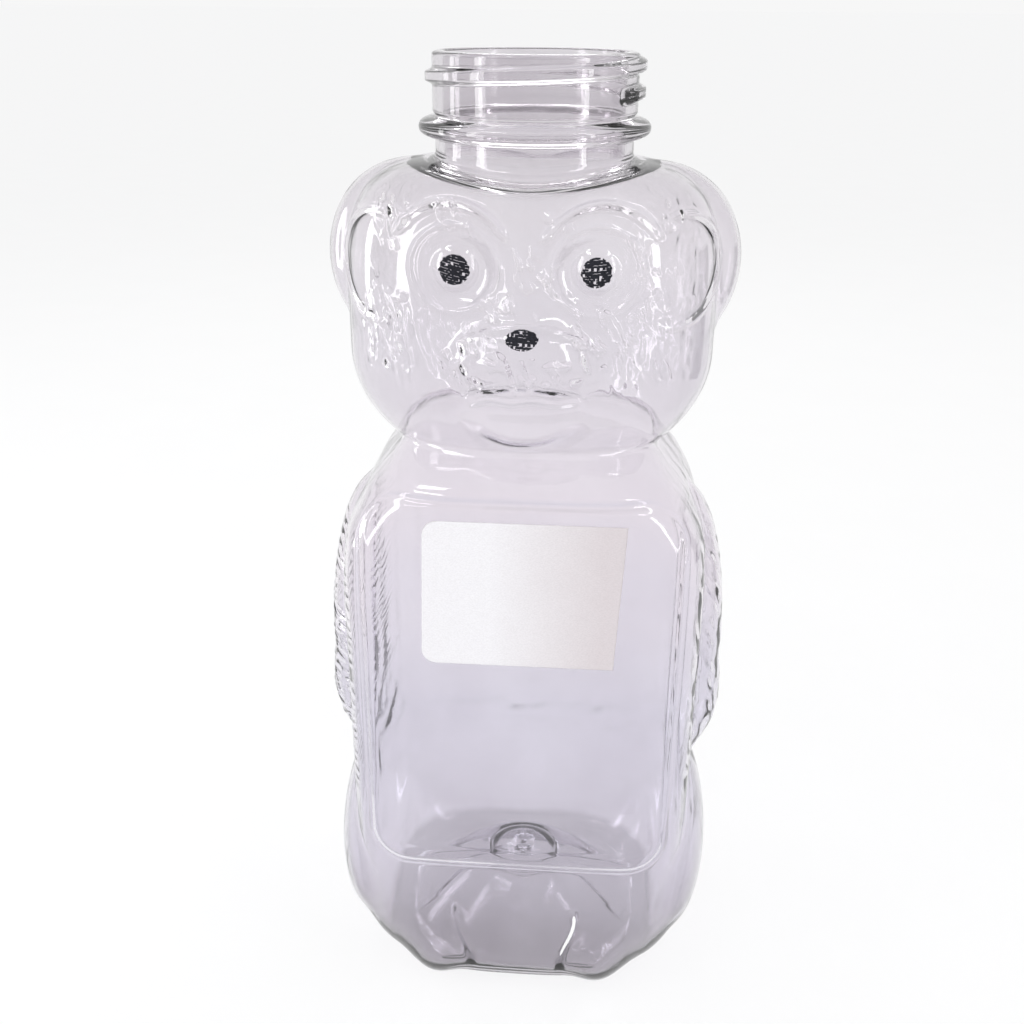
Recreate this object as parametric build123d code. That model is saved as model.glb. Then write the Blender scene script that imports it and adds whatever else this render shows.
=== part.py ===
from build123d import *
import math
import os

# Honey bear bottle: a clear blow-moulded bottle in the shape of a sitting bear,
# with an open screw neck, printed eyes and nose, and a blank paper sticker.
# The origin is the middle of the standing surface, +Z is up and the bear faces -Y.

# Shell
body_wall = 0.6
cut_overrun = 10.0

# Neck finish: its length from the crown of the head to the rim, and drops below the rim
neck_length = 17.762
neck_wall = 1.9
thread_root_radius = 17.4
thread_height = 1.2
thread_pitch = 4.23
thread_turns = 1.2
thread_foot_width = 2.9
thread_crest_width = 1.2
thread_start_drop = 6.6
thread_start_angle = -37
thread_overlap = 0.5
rim_round = 0.6
upper_neck_drop = 9.4
neck_taper_height = 0.6
lower_neck_step = 0.4
bead_height = 2.8
bead_drop = 11.9
bead_half_height = 1.8
bead_edge_half_height = 0.4
neck_root_lift = 1.362
neck_root_flare = 1.2
neck_sink = 6.0

# Torso, a squarish loft from the standing surface up into the head
torso_height = 117.0
torso_half_width = 33.6
torso_half_depth = 28.7
# height share, width share, depth share and squareness share of each section
torso_shares = [
    (0.000, 0.800, 0.820, 0.42),
    (0.020, 0.870, 0.905, 0.48),
    (0.060, 0.920, 0.965, 0.56),
    (0.140, 0.970, 0.990, 0.72),
    (0.300, 1.000, 1.000, 0.95),
    (0.450, 1.000, 1.000, 1.00),
    (0.600, 1.000, 1.000, 1.00),
    (0.760, 1.000, 1.000, 1.00),
    (0.850, 0.985, 0.990, 0.90),
    (0.915, 0.890, 0.965, 0.80),
    (0.960, 0.770, 0.880, 0.65),
    (1.000, 0.660, 0.690, 0.50),
]
torso_squareness_share = 6.5

# Label panels, sunk into the front and the back of the torso
panel_width = 54.8
panel_height = 74.6
panel_top_drop = 7.6
panel_corner_radius = 6.0
panel_sink = 1.6

# Head, a loft that closes towards the chin and the neck
head_stand = 15.0
head_half_width = 33.0
head_half_depth = 24.6
head_drop = 24.2
head_rise = 33.2
chin_roundness_share = 2.0
crown_roundness_share = 4.2
crown_depth_roundness_share = 6.0
head_squareness_share = 2.3
# where the sections lie, as shares of the drop below and the rise above the middle
head_low_shares = [-0.76, -0.62, -0.42, -0.20]
head_high_shares = [0.0, 0.25, 0.48, 0.68, 0.82, 0.91, 0.965]

# Ears, set in from the sides of the head and lifted over its middle
ear_inset = 10.0
ear_setback = 1.5
ear_lift = 15.3
ear_reach = (14.0, 8.5, 16.6)

# Muzzle with its bridge and chin, set in from the front of the head
muzzle_reach = (12.2, 10.4, 9.2)
muzzle_inset = 4.6
muzzle_lift = 3.6
bridge_reach = (6.4, 7.0, 10.5)
bridge_inset = 5.4
bridge_lift = 13.0
chin_reach = (10.5, 7.5, 7.0)
chin_inset = 6.1
chin_drop = 6.0

# Eyes: a bowl under the brow, with a round ball in it
eye_offset = 11.4
eye_lift = 18.0
socket_reach = (7.4, 4.6, 6.8)
socket_stand = 0.8
eyeball_reach = (4.9, 4.0, 4.9)
eyeball_inset = 5.0

# Printed ink
eye_ink_radius = 2.45
nose_ink_half_width = 2.55
nose_ink_half_height = 1.5
nose_ink_lift = 4.7
ink_thickness = 0.1

# Arms and hands, set in from the sides of the torso and hung below its top
arm_inset = 3.1
arm_forward = 4.0
arm_drop = 41.5
arm_reach = (8.4, 11.5, 29.5)
arm_tilt = 7
hand_inset = 2.1
hand_forward = 4.0
hand_drop = 55.0
hand_reach = (8.1, 9.5, 13.5)

# Haunches and feet, set in from the sides and the front of the torso
haunch_inset = 2.6
haunch_forward = 0.5
haunch_middle_height = 23.5
haunch_reach = (8.4, 24.0, 21.5)
foot_side_inset = 15.1
foot_front_inset = 11.5
foot_middle_height = 13.0
foot_reach = (10.8, 12.9, 15.6)

# Domed base with its gate ring and gate nub
dome_height = 14.0
standing_ring_side = 1.38
standing_ring_front = 2.034
gate_ring_radius = 7.5
gate_ring_thickness = 0.7
gate_nub_radius = 1.6
gate_nub_height = 1.2

# Paper sticker on the front panel: rounded at the left, cut off a little askew at the right
sticker_width = 35.6
sticker_height = 28.5
sticker_round = 2.8
sticker_lean = 0.7
sticker_cut_lean = 0.7
sticker_offset = 0.7
sticker_top_gap = 1.95
paper_thickness = 0.12
adhesive_thickness = 0.05

# Points on the outline of each lofted section
section_points = 32

# Places that follow from the sizes above
head_middle_height = torso_height + head_stand
crown_height = head_middle_height + head_high_shares[-1] * head_rise
bottle_height = crown_height + neck_length
neck_root_height = crown_height + neck_root_lift
neck_bore_radius = thread_root_radius - neck_wall
lower_neck_radius = thread_root_radius - lower_neck_step
bead_radius = lower_neck_radius + bead_height
panel_plane_reach = torso_half_depth - panel_sink
panel_top_height = torso_height - panel_top_drop
ear_offset = head_half_width - ear_inset
ear_middle_height = head_middle_height + ear_lift
muzzle_forward = head_half_depth - muzzle_inset
muzzle_middle_height = head_middle_height + muzzle_lift
bridge_forward = head_half_depth - bridge_inset
bridge_middle_height = head_middle_height + bridge_lift
chin_forward = head_half_depth - chin_inset
chin_middle_height = head_middle_height - chin_drop
eye_middle_height = head_middle_height + eye_lift
socket_forward = head_half_depth + socket_stand
eyeball_forward = head_half_depth - eyeball_inset
nose_ink_height = muzzle_middle_height + nose_ink_lift
arm_offset = torso_half_width - arm_inset
arm_middle_height = torso_height - arm_drop
hand_offset = torso_half_width - hand_inset
hand_middle_height = torso_height - hand_drop
haunch_offset = torso_half_width - haunch_inset
foot_offset = torso_half_width - foot_side_inset
foot_forward = torso_half_depth - foot_front_inset
base_shares = torso_shares[0]
dome_half_width = base_shares[1] * torso_half_width - standing_ring_side
dome_half_depth = base_shares[2] * torso_half_depth - standing_ring_front
dome_reach = (dome_half_width, dome_half_depth, dome_height)
sticker_middle_height = panel_top_height - sticker_top_gap - sticker_height / 2


def outline(half_width, half_depth, squareness, height):
    """A closed face between an ellipse and a rounded rectangle, lying at a height."""
    points = []
    for step in range(section_points):
        turn = math.tau * step / section_points
        across = math.copysign(abs(math.cos(turn)) ** (2 / squareness), math.cos(turn))
        along = math.copysign(abs(math.sin(turn)) ** (2 / squareness), math.sin(turn))
        points.append((half_width * across, half_depth * along, height))
    return make_face(Spline(*points, periodic=True))


def ellipsoid(place, reach, inset):
    """A ball scaled to its reach along X, Y and Z, drawn in by the inset."""
    size = tuple(length - inset for length in reach)
    return Pos(*place) * scale(Sphere(1), by=size)


def torso(inset):
    sections = []
    for height_share, width_share, depth_share, squareness_share in torso_shares:
        height = inset + height_share * (torso_height - inset)
        half_width = width_share * torso_half_width - inset
        half_depth = depth_share * torso_half_depth - inset
        squareness = squareness_share * torso_squareness_share
        sections.append(outline(half_width, half_depth, squareness, height))
    return loft(sections)


def rounding(share, roundness):
    """How wide a rounded form still is at a share of the way to its end."""
    return (1 - abs(share) ** roundness) ** (1 / roundness)


def head(inset):
    sections = []
    for share in head_low_shares + head_high_shares:
        if share < 0:
            height = head_middle_height + share * (head_drop - inset)
            width_share = rounding(share, chin_roundness_share)
            depth_share = width_share
        else:
            height = head_middle_height + share * (head_rise - inset)
            width_share = rounding(share, crown_roundness_share)
            depth_share = rounding(share, crown_depth_roundness_share)
        half_width = width_share * (head_half_width - inset)
        half_depth = depth_share * (head_half_depth - inset)
        sections.append(outline(half_width, half_depth, head_squareness_share, height))
    return loft(sections)


def both_sides(make_side):
    """The shape made for the left side and for the right side."""
    return [make_side(-1), make_side(1)]


def limbs(inset):
    """Ears, arms, hands, haunches and feet, each drawn in by the inset."""
    def one_side(side):
        ear = ellipsoid((side * ear_offset, ear_setback, ear_middle_height), ear_reach, inset)
        arm_ball = ellipsoid((0, 0, 0), arm_reach, inset)
        arm_place = Pos(side * arm_offset, -arm_forward, arm_middle_height)
        arm = arm_place * Rot(-arm_tilt, 0, 0) * arm_ball
        hand = ellipsoid((side * hand_offset, -hand_forward, hand_middle_height), hand_reach, inset)
        haunch_place = (side * haunch_offset, -haunch_forward, haunch_middle_height)
        haunch = ellipsoid(haunch_place, haunch_reach, inset)
        foot = ellipsoid((side * foot_offset, -foot_forward, foot_middle_height), foot_reach, inset)
        return [ear, arm, hand, haunch, foot]
    left, right = both_sides(one_side)
    return left + right


def face_swells(inset):
    muzzle = ellipsoid((0, -muzzle_forward, muzzle_middle_height), muzzle_reach, inset)
    bridge = ellipsoid((0, -bridge_forward, bridge_middle_height), bridge_reach, inset)
    chin = ellipsoid((0, -chin_forward, chin_middle_height), chin_reach, inset)
    return [muzzle, bridge, chin]


def eyeball(side, inset):
    return ellipsoid((side * eye_offset, -eyeball_forward, eye_middle_height), eyeball_reach, inset)


def socket(side, inset):
    return ellipsoid((side * eye_offset, -socket_forward, eye_middle_height), socket_reach, -inset)


def panel_recess(facing, inset):
    """The slab that flattens the front (-1) or the back (1) of the torso."""
    inner_face = panel_plane_reach - inset
    size = Rectangle(panel_width + 2 * inset, panel_height + 2 * inset)
    face = fillet(size.vertices(), panel_corner_radius)
    depth = torso_half_depth - inner_face + cut_overrun
    middle = (0, facing * inner_face, panel_top_height - panel_height / 2)
    return Plane(origin=middle, x_dir=(1, 0, 0), z_dir=(0, facing, 0)) * extrude(face, depth)


def bear_form(inset):
    """The closed bear: its outer form at no inset, its hollow at the wall's inset."""
    form = torso(inset) + head(inset)
    for swell in limbs(inset) + face_swells(inset):
        form += swell
    for side in (-1, 1):
        form -= socket(side, inset)
    for side in (-1, 1):
        form += eyeball(side, inset)
    for facing in (-1, 1):
        form -= panel_recess(facing, inset)
    below = Pos(0, 0, inset) * Box(
        bottle_height, bottle_height, bottle_height, align=(Align.CENTER, Align.CENTER, Align.MAX)
    )
    form -= below
    return form - ellipsoid((0, 0, 0), dome_reach, -inset)


def neck():
    """The outer wall of the neck with its transfer bead, turned about the Z axis."""
    rim = bottle_height
    root = neck_root_height
    step = rim - upper_neck_drop
    bead = rim - bead_drop
    profile = Polyline(
        (0, root - neck_sink),
        (lower_neck_radius + neck_root_flare, root - neck_sink),
        (lower_neck_radius + neck_root_flare, root - neck_root_flare),
        (lower_neck_radius, root),
        (lower_neck_radius, bead - bead_half_height),
        (bead_radius, bead - bead_edge_half_height),
        (bead_radius, bead + bead_edge_half_height),
        (lower_neck_radius, bead + bead_half_height),
        (lower_neck_radius, step - neck_taper_height),
        (thread_root_radius, step),
        (thread_root_radius, rim - rim_round),
        (thread_root_radius - rim_round, rim),
        (0, rim),
        close=True,
    )
    return revolve(Plane.XZ * make_face(profile), axis=Axis.Z)


def thread():
    """One raised right-hand turn and a little more, as the cap's thread needs."""
    path = Helix(
        pitch=thread_pitch, height=thread_turns * thread_pitch, radius=thread_root_radius
    )
    start = Plane(origin=path @ 0, x_dir=(1, 0, 0), z_dir=path % 0)
    ridge = Polyline(
        (-thread_overlap, -thread_foot_width / 2),
        (0, -thread_foot_width / 2),
        (thread_height, -thread_crest_width / 2),
        (thread_height, thread_crest_width / 2),
        (0, thread_foot_width / 2),
        (-thread_overlap, thread_foot_width / 2),
        close=True,
    )
    ridge_solid = sweep(start * make_face(ridge), path=path, is_frenet=True)
    start_height = bottle_height - thread_start_drop
    return Pos(0, 0, start_height) * Rot(0, 0, thread_start_angle) * ridge_solid


def bore():
    depth = bottle_height - neck_root_height + neck_sink
    return Pos(0, 0, bottle_height) * Cylinder(
        neck_bore_radius, depth, align=(Align.CENTER, Align.CENTER, Align.MAX)
    )


def gate_marks():
    """The ring and the nub that the mould's gate leaves under the dome."""
    ring_height = dome_reach[2] * rounding(gate_ring_radius / dome_reach[0], 2)
    ring = Pos(0, 0, ring_height + body_wall / 2) * Torus(gate_ring_radius, gate_ring_thickness)
    nub = Pos(0, 0, dome_reach[2] + body_wall / 2) * Cylinder(
        gate_nub_radius, gate_nub_height, align=(Align.CENTER, Align.CENTER, Align.MAX)
    )
    return [ring, nub]


def bottle():
    outside = bear_form(0) + neck() + thread()
    shell = outside - bear_form(body_wall) - bore()
    for mark in gate_marks():
        shell += mark
    return shell


def eye_ink(side):
    """A round skin of ink on the front of an eyeball."""
    skin = eyeball(side, -ink_thickness) - eyeball(side, 0)
    place = (side * eye_offset, -eyeball_forward, eye_middle_height)
    stamp = Cylinder(
        eye_ink_radius, eyeball_reach[1] + cut_overrun, align=(Align.CENTER, Align.CENTER, Align.MIN)
    )
    return skin & (Plane(origin=place, x_dir=(1, 0, 0), z_dir=(0, -1, 0)) * stamp)


def nose_ink():
    """An oval skin of ink near the top of the muzzle."""
    place = (0, -muzzle_forward, muzzle_middle_height)
    skin = ellipsoid(place, muzzle_reach, -ink_thickness) - ellipsoid(place, muzzle_reach, 0)
    stamp = extrude(Ellipse(nose_ink_half_width, nose_ink_half_height), muzzle_reach[1] + cut_overrun)
    middle = (0, -muzzle_forward, nose_ink_height)
    front = Plane(origin=middle, x_dir=(1, 0, 0), z_dir=(0, -1, 0))
    return skin & (front * stamp)


def sticker_layer(back, thickness):
    """The sticker's outline on the front panel, as one layer of it."""
    half_width = sticker_width / 2
    half_height = sticker_height / 2
    right_foot = half_width - sticker_lean - sticker_cut_lean
    edge = Polyline(
        (-half_width, half_height),
        (half_width, half_height),
        (right_foot, -half_height),
        (-half_width - sticker_lean, -half_height),
        close=True,
    )
    face = make_face(edge)
    left_corners = face.vertices().sort_by(Axis.X)[:2]
    face = fillet(left_corners, sticker_round)
    middle = (sticker_offset, -back, sticker_middle_height)
    return Plane(origin=middle, x_dir=(1, 0, 0), z_dir=(0, -1, 0)) * extrude(face, thickness)


def export_node(shape, name):
    shape.label = name
    export_step(shape, os.path.join("parts", name + ".step"))


os.makedirs("parts", exist_ok=True)
export_node(bottle(), "bottle")
export_node(eye_ink(-1), "left_eye")
export_node(eye_ink(1), "right_eye")
export_node(nose_ink(), "nose")
adhesive_face = panel_plane_reach + adhesive_thickness
export_node(sticker_layer(panel_plane_reach, adhesive_thickness), "label_adhesive")
export_node(sticker_layer(adhesive_face, paper_thickness), "label_paper")
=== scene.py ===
# The honey bear bottle's looks: a clear blown shell with moulded fur, printed eyes
# and nose, and a blank paper sticker, on a white floor in soft light.
import math

import bpy
import numpy as np
from mathutils import Matrix, Vector


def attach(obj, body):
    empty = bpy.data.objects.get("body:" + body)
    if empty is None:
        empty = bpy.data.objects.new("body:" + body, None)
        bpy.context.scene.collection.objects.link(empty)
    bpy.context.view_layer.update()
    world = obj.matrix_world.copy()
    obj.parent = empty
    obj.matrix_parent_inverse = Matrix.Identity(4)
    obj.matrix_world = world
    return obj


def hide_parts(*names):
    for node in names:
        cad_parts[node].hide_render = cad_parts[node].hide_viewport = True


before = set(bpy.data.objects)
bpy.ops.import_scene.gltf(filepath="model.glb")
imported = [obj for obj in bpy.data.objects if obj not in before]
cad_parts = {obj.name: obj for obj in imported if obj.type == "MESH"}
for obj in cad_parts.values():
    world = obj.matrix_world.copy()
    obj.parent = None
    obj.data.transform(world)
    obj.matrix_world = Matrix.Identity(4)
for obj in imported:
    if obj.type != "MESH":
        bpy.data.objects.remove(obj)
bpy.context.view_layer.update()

# Shapes below are worked out in millimetres and written to Blender in metres
MILLIMETRE = 0.001

# Keeps sums away from a division by nought
TINY = 1e-9

# A fade is a pair of numbers: where it starts or ends, and the length that it takes

# Mesh fineness of the shell
columns = 720
neck_rows = 96
crown_rows = 120
side_rows = 470
heel_rows = 40
dome_rows = 60

# Rays that find the skin: their reach, and how often it is halved
ray_reach = 60.0
ray_halvings = 20

# Neck finish
rim_height = 181.8
bore_radius = 15.5
thread_root_radius = 17.4
thread_height = 1.2
thread_pitch = 4.23
thread_turns = 1.2
thread_start_drop = 6.6
thread_start_angle = math.radians(-37)
thread_half_width = 1.45
thread_flank = 0.85
thread_run_out = math.radians(16)
upper_neck_drop = 9.4
neck_taper = 0.6
lower_neck_radius = 17.0
bead_height = 2.8
bead_drop = 11.9
bead_half_height = 1.8
bead_flatness = 2.6
bead_roundness = 0.75
neck_start_height = 166.6
neck_foot_height = 150.0
neck_blend = 1.2
rim_round = 0.7

# Shell wall, thicker at the neck's root and towards the middle of the base
body_wall = 0.6
neck_root_wall = 1.5
neck_root_bottom = (158, 8)
neck_root_outside = (22, 3)
bore_ease_rows = 14
base_wall = 2.2
wall_ripple = 0.07
ripple_cells_around = 3
ripple_cell_height = 14
ripple_shift = 5

# Torso: shares of height, half width, half depth and squareness, level by level
torso_height = 117.0
torso_half_width = 33.6
torso_half_depth = 28.7
torso_squareness = 6.5
torso_shares = np.array([
    (0.000, 0.800, 0.820, 0.42),
    (0.020, 0.870, 0.905, 0.48),
    (0.060, 0.920, 0.965, 0.56),
    (0.140, 0.970, 0.990, 0.72),
    (0.300, 1.000, 1.000, 0.95),
    (0.450, 1.000, 1.000, 1.00),
    (0.600, 1.000, 1.000, 1.00),
    (0.760, 1.000, 1.000, 1.00),
    (0.850, 0.985, 0.990, 0.90),
    (0.915, 0.890, 0.965, 0.80),
    (0.960, 0.770, 0.880, 0.65),
    (1.000, 0.660, 0.690, 0.50),
])

# Label panels, the back one softer than the front one
panel_half_width = 27.4
panel_height = 74.6
panel_bottom = 34.8
panel_corner_radius = 6.0
panel_plane_reach = 27.1
front_panel_blend = 1.3
back_panel_blend = 4.5
panel_ridge = 0.4
panel_ridge_gap = 1.1
panel_ridge_half_width = 0.55
panel_ridge_front = (22, 3)

# Head
head_middle_height = 132.0
head_half_width = 33.0
head_half_depth = 24.6
head_drop = 24.2
head_rise = 33.2
head_squareness = 2.3
crown_squareness = 4.8
head_ray_height = 148.0
eye_offset = 11.4
eye_height = 150.0
nose_ink_height = 140.3

# How softly head and torso meet, in front and, more softly, behind
collar_blend = 1.6
collar_blend_behind = 4.6
collar_blend_fade = (0, 15)

# Arms: middle, half sizes, backward tilt and blend
arm_middle = (30.5, -4.0, 75.5)
arm_reach = (8.4, 11.5, 29.5)
arm_tilt = math.radians(7)
arm_blend = 1.8

# Swells on each side: middle, half sizes, and how softly each runs into the rest.
# They are the hand, the haunch, the haunch's run into the foot, the foot, the ear,
# the nose bridge, the chin and the muzzle.
side_swells = [
    ((31.5, -4.0, 62.0), (8.1, 9.5, 13.5), 2.0),
    ((31.0, -0.5, 24.5), (8.4, 24.0, 20.5), 2.2),
    ((23.4, -12.5, 13.5), (10.3, 11.5, 12.7), 2.2),
    ((16.3, -17.2, 13.0), (8.9, 12.7, 15.6), 2.4),
    ((23.0, 1.5, 147.3), (14.0, 8.5, 16.6), 1.8),
    ((0.0, -19.2, 145.0), (6.4, 7.0, 10.5), 1.1),
    ((0.0, -19.6, 126.6), (10.8, 8.0, 7.4), 2.0),
    ((0.0, -20.0, 135.6), (12.4, 10.4, 9.2), 2.0),
]

# Eye sockets, and the eyeballs in them
eye_socket = ((eye_offset, -25.4, eye_height), (7.4, 4.6, 6.8))
eye_socket_blend = 1.0
eyeball = ((eye_offset, -19.6, eye_height), (4.9, 4.0, 4.9))
eyeball_blend = 0.8

# Domed base
floor_blend = 2.4
base_ray_height = 16.0
outline_height = 1.2
heel_inner_share = 0.9
dome_edge_share = 0.86
dome_inner_share = 0.01
dome_half_width = 25.5
dome_half_depth = 21.5
dome_height = 14.0
dome_flatness = 2.4
dome_softness = 1.6
gate_ring_radius = 6.9
gate_ring_height = 0.6
gate_ring_half_width = 0.85
gate_nub_height = 1.0
gate_nub_radius = 1.3

# Fur is laid out around the bear on a cylinder of this radius
fur_radius = 30

# Fur on the arms: ticks on the left one and strokes on the right one
arm_fur_side = (31, 3)
arm_fur_bottom = (46, 6)
arm_fur_top = (104, 6)
arm_fur_front = (4, 5)
arm_fur_behind_share = 0.25
left_arm_side = (0, 4)
tick_height = 0.18
tick_pitch = 1.9
tick_wander = 1.6
tick_wander_cell = (5, 6)
tick_patch_cell = (1.5, 2.2)
tick_patch_fade = (0.25, 0.5)
stroke_height = 0.32
stroke_cell = (0.8, 3.2)
stroke_slant = 0.35
stroke_lean = 0.3

# Fur on the cheeks and, fainter, on the back of the head
mottle_height = 0.34
mottle_cell = (1.1, 2.4)
head_stroke_height = 0.2
cheek_fur_front = (4, 5)
cheek_fur_inner = (13, 3)
cheek_fur_outer = (30, 4)
cheek_fur_bottom = (129, 4)
cheek_fur_top = (146, 4)
nape_fur_share = 0.7
nape_fur_depth = (7, 5)
nape_fur_bottom = (127, 5)
nape_fur_top = (162, 4)

# Tufts scattered over the face
tuft_height = 0.45
tuft_cell = (0.9, 1.7)
tuft_slant = 0.315
tuft_fade = (0.55, 0.3)
tuft_patch_cell = (5.5, 4.5)
tuft_patch_shift = 110
tuft_patch_fade = (1 / 3, 1 / 3)
tufts_off_eye = (5.2, 1.5)
tufts_off_nose = (4, 1.5)
nose_flatness = 1.5
tufts_front = (9, 4)
tufts_side = (27, 4)
tufts_bottom = (129, 4)
tufts_top = (162, 3)

# Moulded lines across the muzzle: middle height, droop, wave, how far each stands out
# (or sinks, where negative), half width, and the fade at its ends
face_front = (14, 4)
face_lines = [
    (132.6, 0.035, 0.0, -0.4, 0.45, (10.5, 1.5)),
    (129.9, 0.02, 0.3, 0.25, 0.5, (9.5, 2)),
    (142.0, 0.033, 0.0, 0.3, 0.5, (11.5, 2)),
]
face_wave_pitch = 0.9

# Moulded rings round the eyes, over the brows and in the ears: middle seen from the
# front, stretch, radius, how far each stands out, and half width
eye_ring = ((eye_offset, eye_height), (1, 1.05), 7.3, 0.25, 0.5)
brow_ring = ((eye_offset + 0.8, eye_height - 0.5), (1, 1), 10.6, 0.7, 0.65)
brow_bottom = (154, 2)
ear_ring = ((25.0, 149.0), (1.25, 1), 9.0, 0.4, 0.6)
ear_ring_side = (21, 3)
ear_ring_front = (-2, 4)

# Creases beside the feet
instep_reach = 9.2
instep_spread = 2.6
instep_spread_fade = (8, 12)
crease_half_width = 0.8
crease_top = (24, 4)
left_crease_depth = 0.45
right_crease_depth = 0.75

# Slow waves low in the back
back_wave = 0.5
back_wave_cell = (4, 5)
back_wave_shift = 160
back_wave_depth = (0, 8)
back_wave_bottom = (12, 8)
back_wave_top = (66, 14)

# Moulded detail fades out near the floor
detail_bottom = (4, 6)

# Printed ink: lines of dashes, some of which lose their end, with the gaps between the
# lines bridged here and there
ink_cell = 0.07
ink_margin = 0.5
ink_lift = 0.05
ink_depth = 0.04
ink_back_lift = 0.03
ink_detail_share = 0.6
ink_line_pitch = 0.42
ink_line_share = 0.84
ink_bridge_share = 0.62
ink_bridge_length = 0.3
ink_jag = 0.35
ink_dash = 0.9
ink_dash_share = 0.55
ink_kept_share = 0.9

# Ink patches: piece, node, middle seen from the front, half sizes, slant and seed
ink_patches = [
    ("left_eye_ink", "left_eye", (-eye_offset, eye_height), (2.45, 2.45), 0.25, 31),
    ("right_eye_ink", "right_eye", (eye_offset, eye_height), (2.45, 2.45), -0.1, 37),
    ("nose_ink", "nose", (0.0, nose_ink_height), (2.55, 1.5), 0.05, 41),
]

# Paper sticker
sticker_left = -17.1
sticker_right = 18.5
sticker_top = 107.45
sticker_bottom = 78.95
sticker_lean = 0.7
sticker_round = 2.8
paper_back = 27.155
paper_front = 27.265
paper_points = 150
paper_wave = 0.012
paper_wave_cell = (3, 3)
cut_wander = 0.06
cut_wander_length = 0.35

# Tone of the paper, from its left to its cut edge as shares of its width
paper_tones = ((0.89, 0.88, 0.9), (0.71, 0.655, 0.67))
paper_tone_range = (0.4, 0.95)
paper_cloud_share = 0.12
paper_fibre_tone = (0.84, 0.83, 0.83)
paper_fibre_share = 0.7

# Painted shade by height above the floor: the plastic darker low down, where the shadowed floor would
# show through, lightest at the chest, greyer again at the head and darkest at the neck
painted_height_shades = [
    (3.0, (0.87, 0.87, 0.89)),
    (14.0, (0.89, 0.895, 0.92)),
    (26.0, (0.92, 0.93, 0.96)),
    (52.0, (0.91, 0.925, 0.955)),
    (72.0, (0.93, 0.945, 0.97)),
    (90.0, (1.0, 1.0, 1.0)),
    (114.0, (1.0, 1.0, 1.0)),
    (124.0, (0.96, 0.97, 0.97)),
    (138.0, (0.95, 0.96, 0.96)),
    (152.0, (0.99, 1.0, 0.99)),
    (164.0, (0.97, 0.98, 0.97)),
    (170.0, (0.85, 0.85, 0.85)),
]
tone_wander = 4.0

# Painted shade under the bottle and, less, on the feet, standing in for the shadowed floor seen
# through the base; a little of it is the thicker base plastic
BASE_SHADE_SHARE = "base_shade_share"
base_shade_tone = (0.66, 0.66, 0.675)
base_shade_heel_fade = (0.62, 0.12)
foot_shade_share = 0.95
foot_shade_front = (13, 5)
foot_shade_top = (34, 24)

# Painted shade where the plastic is seen nearly edge on, for the dark edges that reflected
# surroundings give; a little of it is the longer path through the wall
grazing_shade_tone = (0.5, 0.5, 0.53)
grazing_shade_range = (0.82, 1)

# Noise keeps mostly to this range
noise_range = (0.3, 0.7)

# Surround, and a floor in metres
floor_size = 120
floor_drop = 0.0002
surround_tint = (0.98, 0.985, 1)
surround_strength = 0.85
seen_strength = 0.93
floor_glow_share = 0.7

# Lamps: place, aim and size in metres, and watts
lamps = {
    "left_window": ((-0.45, -0.26, 0.26), (0, 0, 0.15), (0.09, 0.44), 0.7),
    "right_window": ((0.45, -0.26, 0.26), (0, 0, 0.15), (0.05, 0.44), 0.4),
    "back_window": ((-0.05, 0.5, 0.55), (0, 0, 0.08), (0.3, 0.1), 0.7),
    "left_top": ((-0.27, -0.24, 0.6), (0, 0, 0.05), (0.26, 0.05), 0.35),
    "right_top": ((0.36, -0.24, 0.58), (0, 0, 0.05), (0.16, 0.05), 0.2),
    "left_low": ((-0.5, 0.08, 0.15), (0, 0, 0.06), (0.07, 0.3), 0.3),
}

# Grey card at the right: place, aim and size in metres, and tone
card_place = (0.3, 0.12, 0.07)
card_aim = (0, 0, 0.07)
card_size = (0.1, 0.14)
card_tone = 0.2

# Camera solved from the photograph
camera_place = (10.73, -201.5, 188.6)
camera_turn = math.radians(4.0)
camera_pitch = math.radians(24.3)
camera_roll = math.radians(0.47)
camera_focal_pixels = 1122
photo_pixels = 1024
sensor_width = 36.0
nearest_seen = 0.01


def smooth_step(value):
    value = np.clip(value, 0, 1)
    return value * value * (3 - 2 * value)


def fade_in(value, start, length):
    """Nought up to the start, then rising to one over the length."""
    return smooth_step((value - start) / length)


def fade_out(value, end, length):
    """One at first, then falling over the length to nought at the end."""
    return smooth_step((end - value) / length)


def smooth_curve(knots, values, at):
    """A monotone cubic through the knots, so that levels run into each other smoothly."""
    steps = np.diff(knots)
    slopes = np.diff(values) / steps
    tangents = np.zeros_like(values)
    same_way = slopes[1:] * slopes[:-1] > 0
    harmonic = 2 * slopes[1:] * slopes[:-1] / np.where(same_way, slopes[1:] + slopes[:-1], 1)
    tangents[1:-1] = np.where(same_way, harmonic, 0)
    tangents[0] = slopes[0]
    tangents[-1] = slopes[-1]
    at = np.clip(at, knots[0], knots[-1])
    spot = np.clip(np.searchsorted(knots, at) - 1, 0, len(steps) - 1)
    part = (at - knots[spot]) / steps[spot]
    square, cube = part**2, part**3
    return (
        (2 * cube - 3 * square + 1) * values[spot]
        + (cube - 2 * square + part) * steps[spot] * tangents[spot]
        + (3 * square - 2 * cube) * values[spot + 1]
        + (cube - square) * steps[spot] * tangents[spot + 1]
    )


def lattice(a, b, seed):
    """A repeatable value from 0 to 1 for each pair of whole numbers; the factors only scramble."""
    mixed = np.sin(a * 127.1 + b * 311.7 + seed * 74.7) * 43758.5453
    return mixed - np.floor(mixed)


def noise(u, v, seed):
    """Smooth noise from 0 to 1 over two coordinates."""
    a, b = np.floor(u), np.floor(v)
    s, t = smooth_step(u - a), smooth_step(v - b)
    low = lattice(a, b, seed) * (1 - s) + lattice(a + 1, b, seed) * s
    high = lattice(a, b + 1, seed) * (1 - s) + lattice(a + 1, b + 1, seed) * s
    return low * (1 - t) + high * t


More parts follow.
